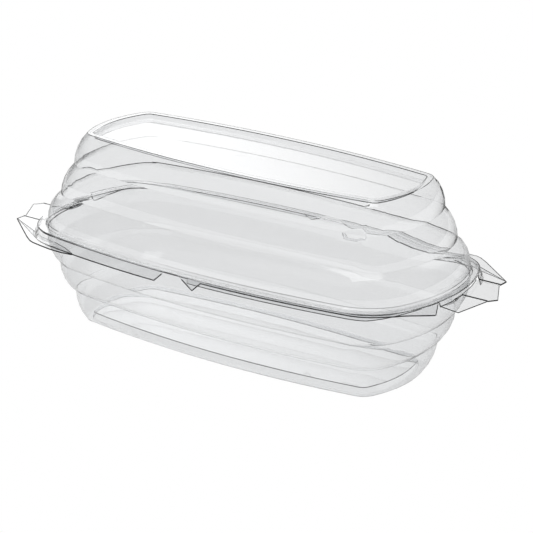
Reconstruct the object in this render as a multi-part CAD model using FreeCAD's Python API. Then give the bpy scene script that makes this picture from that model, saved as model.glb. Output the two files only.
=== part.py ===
import FreeCAD, Part
import math
import os
from FreeCAD import Vector

# Clear two-piece food pack, thermoformed from one thickness of sheet: a base
# and a lift-off lid, both with three scalloped tiers. Millimetres, +Z up. The
# origin is under the middle of the base, X runs along the pack.
# Both pieces look the same when the pack is turned half round about Z, so each
# cut and tab is made once and copied by that turn.

# Sheet and fit
sheet = 0.5
clearance = 0.3

# Mouth of the pack, measured over the outside of the wall
mouth_half_length = 112.0
mouth_half_width = 55.7
mouth_corner = 29.5

# Every outline bows out. The arcs of the ends are centred this far from the
# middle, and those of the sides this far beyond it.
end_bow_centre = 28.0
side_bow_centre = 454.0

# Tiers, counted from the mouth. A step is how far the wall draws in over one.
tier_height = 15.6
lid_steps = (9.6, 5.4, 7.7)
base_steps = (6.4, 8.0, 5.6)
collar_height = 3.9
tier_chords = 4

# Stacking panels: sunk into the top of the lid, raised in the foot of the base
top_rim_width = 3.2
top_panel_sink = 2.4
foot_rim_width = 3.4
foot_panel_rise = 3.0
panel_draft = 0.8
panel_border = 1.0

# Ledge round the mouth, and the skirt that hangs from its edge
ledge_width = 4.0
ledge_corner = 24.0
ledge_border = 1.0
root_size = 0.8
skirt_depth = 5.6
skirt_flare = 1.8
lip_depth = 1.0

# Skirt of the base: shallow, inside the skirt of the lid
base_skirt_depth = 2.6
base_skirt_flare = 0.7
base_skirt_start = 3.0
base_skirt_end = 98.0
base_skirt_fade = 15.0

# Finger notch and tongue in the lid's skirt, along the front from the left
notch_left = -16.0
notch_slope = 5.0
notch_right = -2.5
tongue_tip = 7.0
tongue_right = 11.0

# Tongue at the end of the pack, and the gap through which the base's tab comes
end_tongue_start = -21.0
end_tongue_tip = -16.5
end_gap_start = -13.0
end_gap_end = 32.0

# Pull tab of the base: a plate beyond the end with a folded gusset under it
base_tab_reach = 132.0
base_tab_front = 9.0
base_tab_peak = 13.5
base_tab_chamfer = 3.0
base_tab_back = 31.0
base_tab_back_reach = 122.6
gusset_start = -11.0
gusset_depth = 7.4
gusset_out = 3.0
gusset_set_back = 3.0

# Pull tab of the lid: the corner beside it, drawn out to a point
lid_tab_reach = 122.8
lid_tab_point = 37.0
lid_tab_drop = 2.6
lid_tab_angle = 58.0

# Heights that follow
base_ledge_z = 3 * tier_height + collar_height
lid_ledge_z = base_ledge_z + clearance + sheet
skirt_bottom_z = lid_ledge_z - skirt_depth
base_skirt_bottom_z = base_ledge_z - base_skirt_depth
base_ledge_width = ledge_width - sheet - clearance
far = 2 * base_tab_reach
middle = Vector(0, 0, 0)
up = Vector(0, 0, 1)


def corner_of(offset, corner):
    """Centre of the corner's circle in the outline grown by offset, and the turns where it ends."""
    # The circle touches the end arc and the side arc from inside
    to_end = mouth_half_length + offset - end_bow_centre - corner
    to_side = mouth_half_width + offset + side_bow_centre - corner
    span = math.hypot(end_bow_centre, side_bow_centre)
    along = (to_end ** 2 - to_side ** 2 + span ** 2) / (2 * span)
    across = math.sqrt(to_end ** 2 - along ** 2)
    x = end_bow_centre - (along * end_bow_centre - across * side_bow_centre) / span
    y = -(along * side_bow_centre + across * end_bow_centre) / span
    return x, y, math.atan2(y, x - end_bow_centre), math.atan2(y + side_bow_centre, x)


def half_outline(offset, corner):
    """Arcs of half the outline, anticlockwise: right end, corner, back side, corner."""
    x, y, end_turn, side_turn = corner_of(offset, corner)
    end_radius = mouth_half_length + offset - end_bow_centre
    side_radius = mouth_half_width + offset + side_bow_centre
    return ((end_bow_centre, 0, end_radius, -end_turn, end_turn),
            (x, y, corner, end_turn, side_turn),
            (0, -side_bow_centre, side_radius, side_turn, math.pi - side_turn),
            (-x, y, corner, math.pi - side_turn, math.pi - end_turn))


def turned(shape):
    """The same shape after half a turn of the pack."""
    copy = shape.copy()
    copy.rotate(middle, up, 180)
    return copy


def outline(offset, corner, z):
    """Closed wire at height z: the mouth's outline grown by offset, with its own corner radius."""
    edges = []
    for x, y, radius, start, end in half_outline(offset, corner):
        turns = (start, (start + end) / 2, end)
        points = [Vector(x + radius * math.cos(t), y + radius * math.sin(t), z) for t in turns]
        edges.append(Part.Arc(*points).toShape())
    edges += [turned(edge) for edge in edges]
    return Part.Wire(Part.__sortEdges__(edges))


def plate(outer, inner, top_z):
    """Flat sheet under top_z inside one outline, and outside another where one is given."""
    wires = [outline(*outer, top_z)]
    if inner:
        wires.append(outline(*inner, top_z))
    return Part.Face(wires, "Part::FaceMakerBullseye").extrude(Vector(0, 0, -sheet))


def swept(section, offset, corner):
    """Solid made by running a section, drawn outward from the outline as X and Z, right round it."""
    pieces = []
    for x, y, radius, start, end in half_outline(offset, corner):
        piece = section.copy()
        piece.translate(Vector(radius, 0, 0))
        piece = piece.revolve(middle, up, math.degrees(end - start))
        piece.rotate(middle, up, math.degrees(start))
        piece.translate(Vector(x, y, 0))
        pieces += [piece, turned(piece)]
    return pieces[0].fuse(pieces[1:])


def at(u, z):
    return Vector(u, 0, z)


def polygon_face(points):
    return Part.Face(Part.makePolygon(points + points[:1]))


def scallop(centre, radius, last_turn):
    """Points up the round of one tier, above its foot."""
    turns = [last_turn * (i + 1) / tier_chords for i in range(tier_chords)]
    return [at(centre.x + radius * math.cos(t), centre.z + radius * math.sin(t)) for t in turns]


def wall_section(steps, rise, rim, sink):
    """Section of the sheet from the ledge over the scalloped wall and the rim to the panel.

    It is drawn for a lid whose ledge has its outer face at height 0. The first tier also has
    the straight part that makes its height up to rise.
    """
    foot = rise - 3 * tier_height
    stub = root_size + ledge_border
    mitre = sheet * math.tan(math.pi / 8)
    outer = [at(stub, 0), at(root_size, 0), at(0, root_size)]
    inner = [at(stub, -sheet), at(root_size + mitre, -sheet), at(-sheet, root_size + mitre)]
    u = 0
    z = max(foot, root_size + sheet)
    outer.append(at(u, z))
    for i, step in enumerate(steps):
        top = foot + (i + 1) * tier_height
        height = top - z
        radius = (step ** 2 + height ** 2) / (2 * step)
        centre = at(u - radius, z)
        outer += scallop(centre, radius, math.asin(height / radius))
        inner.append(at(u - sheet, z))
        u -= step
        # The inner face stops where the next tier's inner face, or the rim's underside, crosses it
        last = i == len(steps) - 1
        turn = (math.asin((height - sheet) / (radius - sheet)) if last
                else math.acos((u - sheet - centre.x) / (radius - sheet)))
        inner += scallop(centre, radius - sheet, turn)
        z = top
    # Rim, the drafted wall beside the panel, and a border of the panel itself
    edge = u - rim
    slant = math.hypot(panel_draft, sink)
    border = at(edge - panel_draft - panel_border, z - sink)
    outer += [at(edge, z), at(edge - panel_draft, z - sink), border]
    inner += [at(edge + sheet * (slant - panel_draft) / sink, z - sheet),
              at(edge + (sheet * slant - (sink + sheet) * panel_draft) / sink, border.z - sheet),
              at(border.x, border.z - sheet)]
    return polygon_face(outer + inner[::-1])


def wall(steps, rise, rim, sink):
    """Wall of the lid, with its panel, as it stands over a ledge at height 0."""
    body = swept(wall_section(steps, rise, rim, sink), 0, mouth_corner)
    border = -sum(steps) - rim - panel_draft - panel_border
    return body.fuse(plate((border, mouth_corner + border), None, rise - sink))


def skirt_section(depth, flare):
    """Section of a skirt with the edge of its ledge, from the ledge's outer face down."""
    lean = sheet * math.hypot(depth, flare) / depth
    slope = flare / depth
    points = [at(-ledge_border, 0), at(0, 0), at(flare, -depth), at(flare - lean, -depth),
              at(sheet * slope - lean, -sheet), at(-ledge_border, -sheet)]
    return polygon_face(points)


def brim(width, depth, flare, top_z):
    """Ledge round the mouth and the skirt that hangs from it."""
    skirt = swept(skirt_section(depth, flare), width, ledge_corner)
    skirt.translate(Vector(0, 0, top_z))
    ledge = plate((width - ledge_border, ledge_corner - ledge_border),
                  (root_size + ledge_border, mouth_corner + root_size + ledge_border), top_z)
    return skirt.fuse(ledge)


def prism(points, direction):
    """Solid swept from a flat polygon along a direction."""
    return polygon_face(points).extrude(direction)


def facet(a, b, c):
    """Triangle of sheet, laid evenly about its plane."""
    normal = (b - a).cross(c - a)
    normal.normalize()
    face = polygon_face([a, b, c])
    face.translate(normal * (-sheet / 2))
    return face.extrude(normal * sheet)


def end_x(offset, y):
    """How far out the right end of the outline lies at y."""
    return end_bow_centre + math.sqrt((mouth_half_length + offset - end_bow_centre) ** 2 - y ** 2)


def inside_trimmed(shape, offset, z):
    """The shape less all that lies within an outline of the skirt."""
    inside = Part.Face(outline(offset, ledge_corner, z - skirt_depth))
    return shape.cut(inside.extrude(Vector(0, 0, 2 * skirt_depth)))


def lid_cuts():
    """What is trimmed off the lid's skirt on the front and the right end."""
    below = skirt_bottom_z - skirt_depth
    lip_z = lid_ledge_z - sheet - lip_depth
    flush_z = lid_ledge_z - sheet
    front = [(notch_left, below), (notch_left, skirt_bottom_z),
             (notch_left + notch_slope, flush_z), (notch_right, flush_z),
             (tongue_tip, skirt_bottom_z), (tongue_right, lip_z),
             (mouth_half_length, lip_z), (mouth_half_length, below)]
    front = prism([Vector(x, end_tongue_start, z) for x, z in front], Vector(0, -far, 0))
    end = [(-far, below), (-far, lip_z), (end_tongue_start, lip_z),
           (end_tongue_tip, skirt_bottom_z), (end_gap_start, flush_z),
           (end_gap_end, flush_z), (end_gap_end, below)]
    end = prism([Vector(mouth_half_length - ledge_corner, y, z) for y, z in end], Vector(far, 0, 0))
    return front.fuse(end)


def lid_tab():
    """Corner tab of the lid at the back right: a plate with a lip that tapers to its point."""
    z = lid_ledge_z - lid_tab_drop
    root_offset = ledge_width + skirt_flare * lid_tab_drop / skirt_depth
    foot_offset = ledge_width + skirt_flare
    turn = math.radians(lid_tab_angle)

    def on_corner(offset, height):
        x, y = corner_of(offset, ledge_corner)[:2]
        return Vector(x + ledge_corner * math.cos(turn), y + ledge_corner * math.sin(turn), height)

    root = on_corner(root_offset - sheet / 2, z)
    foot = on_corner(foot_offset - sheet / 2, skirt_bottom_z)
    point = Vector(lid_tab_reach, lid_tab_point, z)
    side = Vector(lid_tab_reach, end_gap_end, z)
    inner = Vector(mouth_half_length - ledge_corner, end_gap_end, z)
    tab = prism([root, point, side, inner], Vector(0, 0, -sheet))
    half_down = Vector(0, 0, -sheet / 2)
    tab = tab.fuse(facet(root + half_down, point + half_down, foot))
    return inside_trimmed(tab, root_offset - sheet / 2, z)


def lid():
    body = wall(lid_steps, 3 * tier_height, top_rim_width, top_panel_sink)
    body.translate(Vector(0, 0, lid_ledge_z))
    edge = brim(ledge_width, skirt_depth, skirt_flare, lid_ledge_z)
    cuts = lid_cuts()
    tab = lid_tab()
    return body.fuse([edge.cut([cuts, turned(cuts)]), tab, turned(tab)])


def base_cuts():
    """What is trimmed off the base's skirt: all but the front right stretch and the tab's root."""
    flush_z = base_ledge_z - sheet
    below = flush_z - 2 * base_skirt_depth
    front = [(-far, below), (-far, flush_z), (base_skirt_start - sheet, flush_z),
             (base_skirt_start, base_skirt_bottom_z), (base_skirt_end, base_skirt_bottom_z),
             (base_skirt_end + base_skirt_fade, flush_z), (far, flush_z), (far, below)]
    front = prism([Vector(x, 0, z) for x, z in front], Vector(0, -far, 0))
    back = Part.makeBox(far, far, flush_z - below, Vector(0, 0, below))
    # The root of the tab keeps its skirt
    keep = Part.makeBox(far, base_tab_back - gusset_start, far,
                        Vector(mouth_half_length - ledge_corner, gusset_start, 0))
    return front.fuse(back).cut(keep)


def base_tab():
    """End tab of the base at the right: a plate with a folded gusset under its front edge."""
    z = base_skirt_bottom_z + sheet
    offset = base_ledge_width + base_skirt_flare - sheet / 2
    inner_x = mouth_half_length - ledge_corner
    tab = prism([Vector(inner_x, base_tab_front, z),
                 Vector(base_tab_reach - base_tab_chamfer, base_tab_front, z),
                 Vector(base_tab_reach, base_tab_peak, z),
                 Vector(base_tab_back_reach, base_tab_back, z),
                 Vector(inner_x, base_tab_back, z)], Vector(0, 0, -sheet))
    mid_z = z - sheet / 2
    heel = Vector(end_x(offset, base_tab_front), base_tab_front, mid_z)
    start = Vector(end_x(offset, gusset_start), gusset_start, mid_z)
    toe = Vector(heel.x + gusset_out, base_tab_front - gusset_set_back, mid_z - gusset_depth)
    tip = Vector(base_tab_reach - base_tab_chamfer, base_tab_front, mid_z)
    tab = tab.fuse([facet(start, toe, heel), facet(heel, toe, tip)])
    return inside_trimmed(tab, offset - sheet / 2, z)


def base():
    outer_face_z = base_ledge_z - sheet
    body = wall(base_steps, outer_face_z, foot_rim_width, foot_panel_rise)
    body = body.mirror(middle, up)
    body.translate(Vector(0, 0, outer_face_z))
    edge = brim(base_ledge_width, base_skirt_depth, base_skirt_flare, base_ledge_z)
    cuts = base_cuts()
    tab = base_tab()
    return body.fuse([edge.cut([cuts, turned(cuts)]), tab, turned(tab)])


os.makedirs("parts", exist_ok=True)
for name, make in (("base", base), ("lid", lid)):
    shape = make()
    box = shape.optimalBoundingBox()
    print(name, "valid", shape.isValid(), "solids", len(shape.Solids), "faces", len(shape.Faces),
          "volume", round(shape.Volume), "z", round(box.ZMin, 2), round(box.ZMax, 2),
          "x", round(box.XMax, 2), "y", round(box.YMax, 2))
    shape.exportStep("parts/" + name + ".step")
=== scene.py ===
# %% [markdown]
# # A clear food pack on white
#
# The pack is two formed sheets of clear plastic, a base and a lid. Clear sheet has no
# colour of its own: what shows is how it bends light and mirrors the room. So this file
# sets up the room with as much care as the plastic.
#
# The base and the lid come packed, with their real sizes, and are looked up by name.
# Blender counts in metres. Most sizes here are in mm, and the value mm turns them into
# metres.

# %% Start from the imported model
import math

import bmesh
import bpy
from mathutils import Matrix, Vector


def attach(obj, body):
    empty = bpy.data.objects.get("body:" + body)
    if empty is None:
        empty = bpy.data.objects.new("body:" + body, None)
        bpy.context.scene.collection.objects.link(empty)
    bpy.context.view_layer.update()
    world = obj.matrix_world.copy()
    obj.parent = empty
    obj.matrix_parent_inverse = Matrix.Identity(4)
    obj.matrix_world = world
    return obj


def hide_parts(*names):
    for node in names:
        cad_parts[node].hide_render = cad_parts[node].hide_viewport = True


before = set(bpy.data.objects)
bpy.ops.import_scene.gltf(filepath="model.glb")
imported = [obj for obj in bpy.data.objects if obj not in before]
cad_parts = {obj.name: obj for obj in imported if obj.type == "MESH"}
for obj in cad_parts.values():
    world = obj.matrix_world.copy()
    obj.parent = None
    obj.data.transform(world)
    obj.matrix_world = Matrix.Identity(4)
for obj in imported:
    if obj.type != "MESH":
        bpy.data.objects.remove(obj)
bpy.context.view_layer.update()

scene = bpy.context.scene
mm = 0.001
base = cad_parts["base"]
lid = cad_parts["lid"]


def put(name, data):
    """Add an object made of a mesh, curve, lamp or camera to the scene."""
    thing = bpy.data.objects.new(name, data)
    scene.collection.objects.link(thing)
    return thing


# %% [markdown]
# ## The camera
#
# The picture was taken with a long lens, a little above the pack and off its right end.
# Those angles, the distance and the lens come from matching the pack's own outlines to
# the picture. The camera looks at a point near the mouth and is rolled by about a degree.
# A Track To constraint could aim it, but would also level it. So its three directions
# are worked out from the angles and go straight into its matrix.

# %% Place the camera
IMAGE_WIDTH = 533
LENS_PIXELS = 2503.8
SENSOR = 36.0
FAR_CLIP = 20
AZIMUTH = math.radians(34.8)
ELEVATION = math.radians(19.57)
ROLL = math.radians(1.30)
DISTANCE = 1243.9 * mm
AIM_HEIGHT = 51.15 * mm
AIM_RIGHT = 5.95 * mm
AIM_UP = -10.88 * mm

back = Vector((math.sin(AZIMUTH) * math.cos(ELEVATION),
               -math.cos(AZIMUTH) * math.cos(ELEVATION),
               math.sin(ELEVATION)))
level_right = Vector((math.cos(AZIMUTH), math.sin(AZIMUTH), 0))
level_up = back.cross(level_right)
right = math.cos(ROLL) * level_right + math.sin(ROLL) * level_up
up = math.cos(ROLL) * level_up - math.sin(ROLL) * level_right

camera = put("camera", bpy.data.cameras.new("camera"))
camera.data.sensor_width = SENSOR
camera.data.lens = LENS_PIXELS / IMAGE_WIDTH * SENSOR
camera.data.clip_end = FAR_CLIP
turned = Matrix((right, up, back)).transposed().to_4x4()
aim = Vector((0, 0, AIM_HEIGHT)) + right * AIM_RIGHT + up * AIM_UP
camera.matrix_world = Matrix.Translation(aim + back * DISTANCE) @ turned
scene.camera = camera
print("lens", round(camera.data.lens, 1), "mm, camera at", camera.matrix_world.translation)

# %% [markdown]
# ## The lid as it comes off its mould
#
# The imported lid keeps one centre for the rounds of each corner, tier over tier, and draws
# in as much at its ends as on its sides. The real lid's corners are tighter on the upper
# tiers, its ends draw in less, and there the skirt runs down in a ramp to the pull tab.
# A new wall could be lofted here, but these are small moves of the same surfaces. So the
# lid's mesh is copied, the points of the copy are moved, and the copy stands in for the
# packed lid.
#
# The mouth's outline is made of arcs: two long ones bow the sides, two bow the ends, and
# a round joins them at each corner. Every tier follows the same outline, grown or drawn
# in by some offset. The first helper finds where a corner's round is centred.

# %% Work out where a corner of the wall is centred
MOUTH_HALF_LENGTH = 112.0
MOUTH_HALF_WIDTH = 55.7
MOUTH_CORNER = 29.5
END_BOW_CENTRE = 28.0
SIDE_BOW_CENTRE = 454.0


def corner_centre(offset, corner):
    """Centre of the corner's round, in mm, where the mouth's outline is grown by offset."""
    to_end = MOUTH_HALF_LENGTH + offset - END_BOW_CENTRE - corner
    to_side = MOUTH_HALF_WIDTH + offset + SIDE_BOW_CENTRE - corner
    span = math.hypot(END_BOW_CENTRE, SIDE_BOW_CENTRE)
    along = (to_end ** 2 - to_side ** 2 + span ** 2) / (2 * span)
    across = math.sqrt(to_end ** 2 - along ** 2)
    x = END_BOW_CENTRE - (along * END_BOW_CENTRE - across * SIDE_BOW_CENTRE) / span
    y = -(along * SIDE_BOW_CENTRE + across * END_BOW_CENTRE) / span
    return Vector((x, y))


centre = corner_centre(0, MOUTH_CORNER)
first_turn = math.atan2(centre.y, centre.x - END_BOW_CENTRE)
last_turn = math.atan2(centre.y + SIDE_BOW_CENTRE, centre.x)
print("corner centred at", centre, "mm, from", round(math.degrees(first_turn), 1), "to",
      round(math.degrees(last_turn), 1), "degrees")

# %% Tighten the corners of the tiers
WALL_FOOT = 52.4
PAST_MOUTH = 0.1
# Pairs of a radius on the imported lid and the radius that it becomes.
TIGHTER = ((0, 0), (6.8, 6.8), (14.5, 10.0), (19.9, 14.0), (29.5, 29.5))
# Pairs of an offset from the mouth's outline and how far each end moves out there.
LONGER = ((-22.7, 3.2), (-15.0, 1.1), (-9.6, 2.6), (0.0, 0.0))


def between(knots, value):
    """Read a value off a broken line, given as pairs."""
    for (a, low), (b, high) in zip(knots, knots[1:]):
        if value <= b:
            return low + (high - low) * (value - a) / (b - a)
    return knots[-1][1]


def tightened(point):
    """Where a point of the lid's wall or top goes, in mm."""
    side = Vector((abs(point.x), abs(point.y)))
    turn = math.atan2(side.y - centre.y, side.x - centre.x)
    radius = (side - centre).length
    in_corner = first_turn <= turn <= last_turn
    if in_corner:
        offset = radius - MOUTH_CORNER
    elif turn < first_turn and side.x > END_BOW_CENTRE:
        offset = math.hypot(side.x - END_BOW_CENTRE, side.y) + END_BOW_CENTRE - MOUTH_HALF_LENGTH
    else:
        offset = math.hypot(side.x, side.y + SIDE_BOW_CENTRE) - SIDE_BOW_CENTRE - MOUTH_HALF_WIDTH
    if point.z < WALL_FOOT or offset > PAST_MOUTH:
        return point
    if in_corner:
        tighter = between(TIGHTER, radius)
        side = corner_centre(offset, tighter)
        side += tighter * Vector((math.cos(turn), math.sin(turn)))
    offset = max(offset, LONGER[0][0])
    side.x *= 1 + between(LONGER, offset) / (MOUTH_HALF_LENGTH + offset)
    return Vector((math.copysign(side.x, point.x), math.copysign(side.y, point.y), point.z))


print("a point at 90, 45, 80 goes to", tightened(Vector((90, 45, 80))))

# %% Run the skirt down to the tab
LIP_TOP = 50.15
RAMP_NEAR_END = 80
SKIRT_END = -16.4
SKIRT_LEAN = 1.8
SKIRT_DEPTH = 5.6
# Pairs of a place along the end and the height that the skirt's foot has there.
SKIRT_RAMP = ((-43.5, 50.0), (-33.6, 49.1), (-24.5, 47.4), (-17.4, 45.9))


def ramped(point):
    """Where a point of the lip under the lid's ledge goes, in mm."""
    flip = math.copysign(1, point.x)
    along = point.y * flip
    on_ramp = SKIRT_RAMP[0][0] < along < SKIRT_END and abs(point.x) >= RAMP_NEAR_END
    if point.z > LIP_TOP or not on_ramp:
        return point
    drop = max(0, point.z - between(SKIRT_RAMP, along))
    away = Vector((point.x - flip * END_BOW_CENTRE, point.y, 0)).normalized()
    return point + away * drop * (SKIRT_LEAN / SKIRT_DEPTH) - Vector((0, 0, drop))


print("a lip point at 112, -20, 50 goes to", ramped(Vector((112, -20, 50))))

# %% Move the copy's points
MOVED_BY = 0.01

lid_mesh = lid.data.copy()
lid_mesh.name = "lid_sheet"
moved = 0
for vertex in lid_mesh.vertices:
    old = vertex.co / mm
    new = ramped(tightened(old))
    moved += (new - old).length > MOVED_BY
    vertex.co = new * mm
lid_sheet = put("lid_sheet", lid_mesh)
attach(lid_sheet, "lid")
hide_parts("lid")
print("lid_sheet:", moved, "of", len(lid_mesh.vertices), "points moved")

# %% [markdown]
# ## The ears of the lid's pull tabs
#
# Each pull tab of the lid is a whole corner of the flange: its outer edge leaves the
# foot of the skirt well along the side, rises and swings round to the point. The packed
# tab is the straight part near the point. The rest is an ear of sheet, level with the
# tab for most of its length, whose inner side follows the skirt. A single face with a
# Solidify modifier would do it too. Here the outline is filled with one face, which is
# drawn down by the sheet's thickness, so that the mesh is the plate as it stands. The
# pack looks the same after half a turn, so the second ear is the first one half turned.

# %% Outline an ear
SHEET = 0.5
EAR_TOP = 48.9
EAR_EDGE = ((70.5, 56.9, 46.2), (76.0, 58.8, 46.7), (82.0, 60.4, 47.6), (86.5, 61.4, 48.6),
            (92.5, 60.6, EAR_TOP), (95.7, 59.2, EAR_TOP), (100.6, 55.6, EAR_TOP),
            (111.7, 46.4, EAR_TOP), (121.6, 38.1, EAR_TOP), (122.8, 37.0, EAR_TOP))
EAR_ROOT = ((83.0, 53.9, 48.7), (76.0, 55.2, 48.0), (70.5, 56.4, 46.4))
LEDGE_OFFSET = 4.84
LEDGE_CORNER = 24.0
EAR_TURNS = (58, 64, 70, 76, 80)

ledge_centre = corner_centre(LEDGE_OFFSET, LEDGE_CORNER)
ear_plan = [Vector(point) for point in EAR_EDGE]
for degrees in EAR_TURNS:
    turn = math.radians(degrees)
    level = ledge_centre + LEDGE_CORNER * Vector((math.cos(turn), math.sin(turn)))
    ear_plan.append(Vector((level.x, level.y, EAR_TOP)))
ear_plan += [Vector(point) for point in EAR_ROOT]
print("an ear has", len(ear_plan), "corners")


# %% Lay the ears beside the tabs
def half_turned(point):
    """Where a point goes when the pack is turned by half a turn about its upright axis."""
    return Vector((-point.x, -point.y, point.z))


def mesh_from(name, built):
    """Turn a finished bmesh into a mesh."""
    mesh = bpy.data.meshes.new(name)
    built.to_mesh(mesh)
    built.free()
    return mesh


ears = bmesh.new()
for plan in (ear_plan, [half_turned(point) for point in ear_plan]):
    top = ears.faces.new([ears.verts.new(point * mm) for point in plan])
    drawn = bmesh.ops.extrude_face_region(ears, geom=[top])
    lowered = [v for v in drawn["geom"] if isinstance(v, bmesh.types.BMVert)]
    bmesh.ops.translate(ears, verts=lowered, vec=(0, 0, -SHEET * mm))
bmesh.ops.recalc_face_normals(ears, faces=ears.faces)
bmesh.ops.triangulate(ears, faces=ears.faces)
lid_ears = put("lid_tab_ears", mesh_from("lid_tab_ears", ears))
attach(lid_ears, "lid")
print("ears:", len(lid_ears.data.polygons), "faces")

# %% [markdown]
# ## The fold under the base's pull tab
#
# The gusset that stiffens the base's pull tab is folded from the same sheet. On the real
# pack its lowest point, the toe, lies further forward and less deep than on the packed
# base. Moving that one point would be simpler, but it leaves faces that aren't parallel,
# and they bend light until the gusset looks black. So the base is copied as the lid was,
# the toe of the copy is cut away, the cut is closed, and two flat facets take its place.
# Each facet has two parallel faces, and light goes straight through.

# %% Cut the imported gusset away
SAME_POINT = 0.001 * mm
PACKED_TOE = Vector((118.19, 6.0, 40.95))
TOE_REACH = 1.6

trimmed = bmesh.new()
trimmed.from_mesh(base.data)
bmesh.ops.remove_doubles(trimmed, verts=trimmed.verts, dist=SAME_POINT)
packed_toes = (PACKED_TOE, half_turned(PACKED_TOE))
cut_away = [v for v in trimmed.verts
            if any((v.co / mm - toe).length < TOE_REACH for toe in packed_toes)]
bmesh.ops.delete(trimmed, geom=cut_away, context="VERTS")
rim = [edge for edge in trimmed.edges if edge.is_boundary]
closed = bmesh.ops.holes_fill(trimmed, edges=rim, sides=0)["faces"]
bmesh.ops.triangulate(trimmed, faces=closed)
base_sheet = put("base_sheet", mesh_from("base_sheet", trimmed))
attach(base_sheet, "base")
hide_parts("base")
print("base_sheet:", len(cut_away), "points cut away and", len(closed), "holes closed")

# %% Fold the gusset again
GUSSET_START = Vector((114.9, -11.0, 48.35))
GUSSET_HEEL = Vector((115.5, 8.6, 48.1))
GUSSET_TOE = Vector((120.3, -3.2, 44.1))
GUSSET_TIP = Vector((128.6, 8.8, 48.1))
FACETS = ((GUSSET_START, GUSSET_TOE, GUSSET_HEEL), (GUSSET_HEEL, GUSSET_TOE, GUSSET_TIP))
FACET_SHARE = 0.985


def add_facet(mesh, points):
    """Flat triangle of sheet, a little smaller than its three corners."""
    middle = sum(points, Vector()) / 3
    a, b, c = (middle + (point - middle) * FACET_SHARE for point in points)
    half = (b - a).cross(c - a).normalized() * SHEET / 2
    top = [mesh.verts.new((point + half) * mm) for point in (a, b, c)]
    under = [mesh.verts.new((point - half) * mm) for point in (a, b, c)]
    mesh.faces.new(top)
    mesh.faces.new(under[::-1])
    for i in range(3):
        j = (i + 1) % 3
        mesh.faces.new((top[i], under[i], under[j], top[j]))


folds = bmesh.new()
for facet in FACETS:
    add_facet(folds, facet)
    add_facet(folds, [half_turned(point) for point in facet])
base_gussets = put("base_tab_gussets", mesh_from("base_tab_gussets", folds))
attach(base_gussets, "base")
print("base_tab_gussets:", len(base_gussets.data.polygons), "faces")

# %% [markdown]
# ## Smooth shading on the formed sheet
#
# Sheet that has been drawn into a mould is smooth over each tier and sharp only at the
# creases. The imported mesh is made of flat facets. Shade Auto Smooth would smooth it from
# the Object menu. The same can be had from a small set of geometry nodes, which all four
# pieces share: it welds the mesh, shades it smooth, and keeps an edge sharp where the
# faces turn by more than a set angle.

# %% Shade the sheet smooth between its creases
WELD = 0.01 * mm
CREASE_ANGLE = math.radians(26)


def smooth_group():
    """Geometry nodes that shade a mesh smooth and keep its creases."""
    group = bpy.data.node_groups.new("smooth_sheet", "GeometryNodeTree")
    for way in ("INPUT", "OUTPUT"):
        group.interface.new_socket("Geometry", in_out=way, socket_type="NodeSocketGeometry")
    add = group.nodes.new
    link = group.links.new
    start = add("NodeGroupInput")
    plain = add("GeometryNodeRemoveAttribute")
    plain.inputs["Name"].default_value = "custom_normal"
    weld = add("GeometryNodeMergeByDistance")
    weld.inputs["Distance"].default_value = WELD
    all_smooth = add("GeometryNodeSetShadeSmooth")
    angle = add("GeometryNodeInputMeshEdgeAngle")
    gentle = add("FunctionNodeCompare")
    gentle.operation = "LESS_THAN"
    gentle.inputs["B"].default_value = CREASE_ANGLE
    creases = add("GeometryNodeSetShadeSmooth")
    creases.domain = "EDGE"
    end = add("NodeGroupOutput")
    link(start.outputs[0], plain.inputs["Geometry"])
    link(plain.outputs["Geometry"], weld.inputs["Geometry"])
    link(weld.outputs["Geometry"], all_smooth.inputs["Geometry"])
    link(all_smooth.outputs["Geometry"], creases.inputs["Geometry"])
    link(angle.outputs["Unsigned Angle"], gentle.inputs["A"])
    link(gentle.outputs["Result"], creases.inputs["Shade Smooth"])
    link(creases.outputs["Geometry"], end.inputs[0])
    return group


group = smooth_group()
for piece in (base_sheet, base_gussets, lid_sheet, lid_ears):
    modifier = piece.modifiers.new("smooth_sheet", "NODES")
    modifier.node_group = group
    print(piece.name, len(piece.data.polygons), "faces shaded smooth")

# %% [markdown]
# ## Clear plastic
#
# Clear sheet lets almost all light through where it faces the eye. Seen edge on, light
# has a long way through it, and the sheet mirrors more of the dim room there, which draws
# the thin dark lines round every clear pack. Here those dark lines are painted shade.
# Volume absorption would give part of that, but it sets the pale faces and the dark
# outlines with one value, where they have to be set one by one to look right. Layer Weight
# gives how edge on a surface is, and a ramp turns that into the colour that the clear
# plastic tints light by: its own pale tint where it faces the eye, and painted shade, darker
# and darker, towards its outlines and creases.
#
# Ledges and panels lie level, and the camera looks along them, yet they stay pale on the
# real pack. So the painted edge shade counts a surface as less edge on the more level it
# lies. The lid is clearer than the base where it faces the eye, and its painted shade is
# darker at its outlines.

# %% Make the clear plastic
PLASTIC_IOR = 1.5
POLISH = 0.02
LEVEL_SHARE = 0.45


def add_math(tree, operation, *values):
    """Math node fed by sockets and plain numbers. Returns its output."""
    node = tree.nodes.new("ShaderNodeMath")
    node.operation = operation
    for socket, value in zip(node.inputs, values):
        if isinstance(value, bpy.types.NodeSocket):
            tree.links.new(value, socket)
        else:
            socket.default_value = value
    return node.outputs[0]


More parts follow.
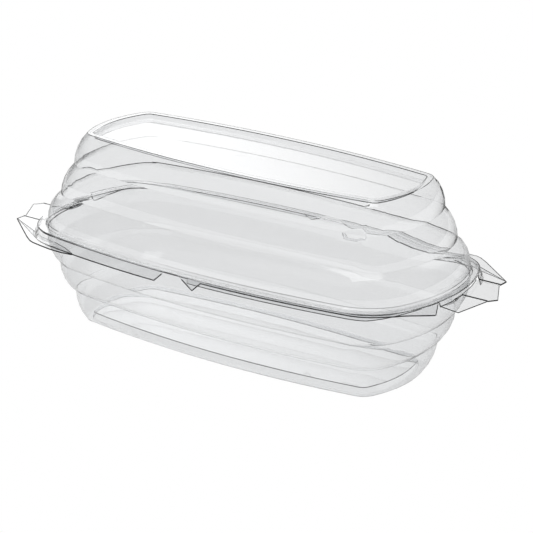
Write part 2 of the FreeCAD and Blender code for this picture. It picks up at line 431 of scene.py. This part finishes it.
def clear_plastic(name, facing_tint, edge_shade_tint, edge_shade_start):
    """Clear sheet with painted edge shade, darker the more edge on it is, from edge_shade_start
    on.
    """
    material = bpy.data.materials.new(name)
    material.use_nodes = True
    tree = material.node_tree
    shader = tree.nodes["Principled BSDF"]
    shader.inputs["Transmission Weight"].default_value = 1.0
    shader.inputs["Roughness"].default_value = POLISH
    shader.inputs["IOR"].default_value = PLASTIC_IOR
    weight = tree.nodes.new("ShaderNodeLayerWeight")
    weight.inputs["Blend"].default_value = 0.5
    ramp = tree.nodes.new("ShaderNodeValToRGB")
    first, last = ramp.color_ramp.elements
    first.position = edge_shade_start
    first.color = facing_tint
    last.position = 1.0
    last.color = edge_shade_tint
    surface = tree.nodes.new("ShaderNodeNewGeometry")
    upright = tree.nodes.new("ShaderNodeSeparateXYZ")
    tree.links.new(surface.outputs["Normal"], upright.inputs[0])
    level = add_math(tree, "ABSOLUTE", upright.outputs["Z"])
    counted = add_math(tree, "MULTIPLY_ADD", level, -LEVEL_SHARE, 1.0)
    painted_edge_shade = add_math(tree, "MULTIPLY", counted, weight.outputs["Facing"])
    tree.links.new(painted_edge_shade, ramp.inputs["Fac"])
    tree.links.new(ramp.outputs["Color"], shader.inputs["Base Color"])
    print(name, "starts to darken at", edge_shade_start)
    return material


# %% Dress both pieces in it
# The edge tints are painted shade for the outlines: near black on the lid, grey on the base.
lid_plastic = clear_plastic("lid_plastic", (0.93, 0.934, 0.938, 1), (0.03, 0.03, 0.03, 1), 0.52)
base_plastic = clear_plastic("base_plastic", (0.895, 0.9, 0.905, 1), (0.5, 0.5, 0.5, 1), 0.82)
for piece, plastic in ((base_sheet, base_plastic), (base_gussets, base_plastic),
                       (lid_sheet, lid_plastic), (lid_ears, lid_plastic)):
    piece.data.materials.clear()
    piece.data.materials.append(plastic)
    piece.visible_shadow = False
    print(piece.name, "is", plastic.name)

# %% [markdown]
# ## The cut edges
#
# Both sheets are die-cut after forming. Light that gets into clear sheet runs along inside
# it and is lost before it can leave through the cut, so a cut edge shows as a thin dark
# line. Freestyle can draw such lines, but only over a finished picture. A fine round bead,
# coloured near black as painted shade for that line, is real geometry and stays on the
# sheet from every side. Where the sheet has been formed, the bead's path is read from its
# mesh, as the sharp edges between the outer skin and the cut. Along the ears and the
# gussets it takes the values given above.

# %% Tell a cut edge from a crease
CUT_TURN = math.radians(60)
SPINE_HALF = 50 * mm
SKIN_FACES_OUT = 0.5
CUT_FACES_OUT = 0.3


def outward(point):
    """Level direction away from the line along the middle of the pack."""
    nearest = Vector((max(-SPINE_HALF, min(SPINE_HALF, point.x)), 0, 0))
    return (Vector((point.x, point.y, 0)) - nearest).normalized()


def is_cut(edge):
    """Whether an edge lies between the outer or upper skin of the sheet and its cut."""
    if len(edge.link_faces) != 2 or edge.calc_face_angle() < CUT_TURN:
        return False
    away = outward((edge.verts[0].co + edge.verts[1].co) / 2)
    sides = [face.normal.dot(away) + face.normal.z for face in edge.link_faces]
    return max(sides) > SKIN_FACES_OUT and min(sides) < CUT_FACES_OUT


print("outward of a point on the side:", outward(Vector((0.02, 0.05, 0))))

# %% Read the cut edges off a mesh
TAB_NEAR_X = 98
TAB_NEAR_Y = 36.9
EAR_UNDER = 0.6
EAR_OVER = 0.1


def beside_ear(point):
    """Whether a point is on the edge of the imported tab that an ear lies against."""
    along = point.y * math.copysign(1, point.x)
    on_tab = abs(point.x) > TAB_NEAR_X and along > TAB_NEAR_Y
    return on_tab and EAR_TOP - EAR_UNDER < point.z < EAR_TOP + EAR_OVER


def chains(edges, inset):
    """Join edges end to end into runs of points, drawn in by the bead's radius."""
    left = dict.fromkeys(edges)
    runs = []
    while left:
        edge = next(iter(left))
        del left[edge]
        run = list(edge.verts)
        for _ in range(2):
            while True:
                onward = [e for e in run[-1].link_edges if e in left]
                if len(onward) != 1:
                    break
                del left[onward[0]]
                run.append(onward[0].other_vert(run[-1]))
            run.reverse()
        runs.append([v.co - outward(v.co) * inset for v in run])
    return runs


def cut_runs(piece, radius, low, high):
    """Runs of points along the cut edges of a piece that lie between two heights."""
    sheet_mesh = bmesh.new()
    sheet_mesh.from_mesh(piece.data)
    bmesh.ops.remove_doubles(sheet_mesh, verts=sheet_mesh.verts, dist=WELD)
    edges = [edge for edge in sheet_mesh.edges if is_cut(edge)
             and all(low < vertex.co.z < high for vertex in edge.verts)
             and not all(beside_ear(vertex.co / mm) for vertex in edge.verts)]
    runs = chains(edges, radius)
    sheet_mesh.free()
    print(piece.name, "has", len(edges), "cut edges in", len(runs), "runs")
    return runs


# %% Draw the cut edges
LID_BEAD = 0.3 * mm
BASE_BEAD = 0.2 * mm
CUTS_FROM = 40 * mm
LID_CUTS_TO = 50.95 * mm
BASE_CUTS_TO = 50.1 * mm

# The bead's near-black colour is painted shade; the real cut edge is clear plastic.
painted_cut_shade = bpy.data.materials.new("painted_cut_shade")
painted_cut_shade.use_nodes = True
painted_cut_shader = painted_cut_shade.node_tree.nodes["Principled BSDF"]
painted_cut_shader.inputs["Base Color"].default_value = (0.03, 0.03, 0.032, 1)
painted_cut_shader.inputs["Roughness"].default_value = 0.35


def cut_bead(name, runs, body, radius):
    """Fine bead along runs of points, near black as the painted shade of a cut edge."""
    curve = bpy.data.curves.new(name, "CURVE")
    curve.dimensions = "3D"
    curve.bevel_depth = radius
    curve.bevel_resolution = 1
    curve.use_fill_caps = True
    for run in runs:
        spline = curve.splines.new("POLY")
        spline.points.add(len(run) - 1)
        for knot, place in zip(spline.points, run):
            knot.co = (*place, 1)
    bead = put(name, curve)
    curve.materials.append(painted_cut_shade)
    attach(bead, body)
    print(name, "has", len(runs), "runs")


lid_runs = cut_runs(lid_sheet, LID_BEAD, CUTS_FROM, LID_CUTS_TO)
ear_run = [Vector((x, y, z - SHEET / 2)) * mm for x, y, z in EAR_EDGE]
lid_runs += [ear_run, [half_turned(point) for point in ear_run]]
cut_bead("lid_cut_edge", lid_runs, "lid", LID_BEAD)
base_runs = cut_runs(base_sheet, BASE_BEAD, CUTS_FROM, BASE_CUTS_TO)
fold_run = [GUSSET_START * mm, GUSSET_TOE * mm, GUSSET_TIP * mm]
base_runs += [fold_run, [half_turned(point) for point in fold_run]]
cut_bead("base_cut_edge", base_runs, "base", BASE_BEAD)

# %% [markdown]
# ## The floor
#
# The pack stands on a white sweep. Lamps strong enough to make that sweep pure white
# would burn out the pack as well. So the floor looks at what kind of ray has reached it,
# with the Light Path node. To the camera, and to rays that have come through the sheet,
# it glows at a strength of 1, which is white. Mirrored in the walls it shows a small
# share of that glow, and to all other rays it is a plain pale floor.

# %% Lay the white floor
FLOOR_SIZE = 16.0
FLOOR_DROP = 0.1 * mm
MIRRORED_SHARE = 0.12

half = FLOOR_SIZE / 2
floor_mesh = bpy.data.meshes.new("floor")
floor_mesh.from_pydata([(-half, -half, 0), (half, -half, 0), (half, half, 0), (-half, half, 0)],
                       [], [(0, 1, 2, 3)])
floor = put("floor", floor_mesh)
floor.location.z = -FLOOR_DROP


def white_to_the_eye(name):
    """Matt pale material that glows white for rays from the camera or through the sheet."""
    material = bpy.data.materials.new(name)
    material.use_nodes = True
    tree = material.node_tree
    diffuse = tree.nodes["Principled BSDF"]
    diffuse.inputs["Base Color"].default_value = (0.8, 0.8, 0.8, 1)
    diffuse.inputs["Roughness"].default_value = 1.0
    path = tree.nodes.new("ShaderNodeLightPath").outputs
    through = add_math(tree, "MAXIMUM", path["Is Camera Ray"], path["Is Transmission Ray"])
    mirrored = add_math(tree, "MULTIPLY", path["Is Glossy Ray"], MIRRORED_SHARE)
    seen = add_math(tree, "MAXIMUM", through, mirrored)
    white = tree.nodes.new("ShaderNodeEmission")
    mix = tree.nodes.new("ShaderNodeMixShader")
    tree.links.new(seen, mix.inputs["Fac"])
    tree.links.new(diffuse.outputs[0], mix.inputs[1])
    tree.links.new(white.outputs[0], mix.inputs[2])
    tree.links.new(mix.outputs[0], tree.nodes["Material Output"].inputs["Surface"])
    return material


floor_mesh.materials.append(white_to_the_eye("white_sweep"))
print("floor is", FLOOR_SIZE, "m across")

# %% [markdown]
# ## The room that the walls mirror
#
# A clear wall shows by what it mirrors. In a room that is white all over, the pack would
# all but vanish. So the room is dark, with a few soft round patches of light, placed
# where the pack's tiers catch their bright streaks. Real softboxes could be set up there,
# but they would light the floor as well. A patch in the world is easy to turn and fade:
# it is the angle between a ray and the patch's middle, run through a soft step.

# %% Light the room with soft patches
ROOM_DARK = 0.07
# Azimuth, elevation, angle where the fade starts, angle where it ends, all in degrees
# and the angles counted from the patch's middle, then the patch's strength.
LIGHT_PATCHES = ((142, 22, 13, 23, 1.15), (100, 20, 20, 40, 0.3), (75, 38, 6, 20, 0.6),
                 (250, 60, 5, 30, 0.35))

world = bpy.data.worlds.new("room")
scene.world = world
world.use_nodes = True
room = world.node_tree
ray = room.nodes.new("ShaderNodeTexCoord").outputs["Generated"]


def direction(azimuth, elevation):
    """Unit vector at an azimuth, counted from +X towards +Y, and an elevation, in degrees."""
    azimuth, elevation = math.radians(azimuth), math.radians(elevation)
    return Vector((math.cos(azimuth) * math.cos(elevation),
                   math.sin(azimuth) * math.cos(elevation), math.sin(elevation)))


def patch_of_light(azimuth, elevation, inner, outer, strength):
    """A soft round patch of light in the room, in degrees from its middle."""
    dot = room.nodes.new("ShaderNodeVectorMath")
    dot.operation = "DOT_PRODUCT"
    dot.inputs[1].default_value = direction(azimuth, elevation)
    room.links.new(ray, dot.inputs[0])
    fade = room.nodes.new("ShaderNodeMapRange")
    fade.interpolation_type = "SMOOTHSTEP"
    fade.inputs["From Min"].default_value = math.cos(math.radians(outer))
    fade.inputs["From Max"].default_value = math.cos(math.radians(inner))
    fade.inputs["To Min"].default_value = 0.0
    fade.inputs["To Max"].default_value = strength
    room.links.new(dot.outputs["Value"], fade.inputs["Value"])
    return fade.outputs[0]


light = ROOM_DARK
for patch in LIGHT_PATCHES:
    light = add_math(room, "ADD", light, patch_of_light(*patch))
to_the_eye = room.nodes.new("ShaderNodeLightPath").outputs["Is Camera Ray"]
backdrop = room.nodes["Background"].inputs
room.links.new(add_math(room, "MAXIMUM", to_the_eye, light), backdrop["Color"])
backdrop["Strength"].default_value = 1.0
print("the room has", len(LIGHT_PATCHES), "patches of light")

# %% [markdown]
# ## The lamp
#
# One large softbox hangs over the pack. A sun lamp would be simpler, but it is mirrored
# as a hard bright dot. The white floor glows by itself, so the lamp has little to do: it
# lights the dark cut edges. A ray meets many sheets on its way through the pack and each
# sheet has two faces, so the bounce limits go up until no part of the pack turns black
# for want of them.

# %% Hang the softbox and let light pass many sheets
SOFTBOX_PLACE = Vector((0.1, -0.2, 1.8))
SOFTBOX_AIM = Vector((0, 0, 0.05))
SOFTBOX_SIZE = (1.4, 1.0)
SOFTBOX_POWER = 6
SHEET_BOUNCES = 32
GLOSSY_BOUNCES = 8

lamp = bpy.data.lights.new("overhead_softbox", "AREA")
lamp.shape = "RECTANGLE"
lamp.size, lamp.size_y = SOFTBOX_SIZE
lamp.energy = SOFTBOX_POWER
softbox = put("overhead_softbox", lamp)
softbox.location = SOFTBOX_PLACE
softbox.rotation_euler = (SOFTBOX_AIM - SOFTBOX_PLACE).to_track_quat("-Z", "Y").to_euler()

scene.cycles.max_bounces = SHEET_BOUNCES
scene.cycles.transmission_bounces = SHEET_BOUNCES
scene.cycles.glossy_bounces = GLOSSY_BOUNCES
scene.cycles.transparent_max_bounces = SHEET_BOUNCES
scene.view_settings.view_transform = "Standard"
print("softbox of", SOFTBOX_POWER, "W, light may pass", SHEET_BOUNCES, "faces")
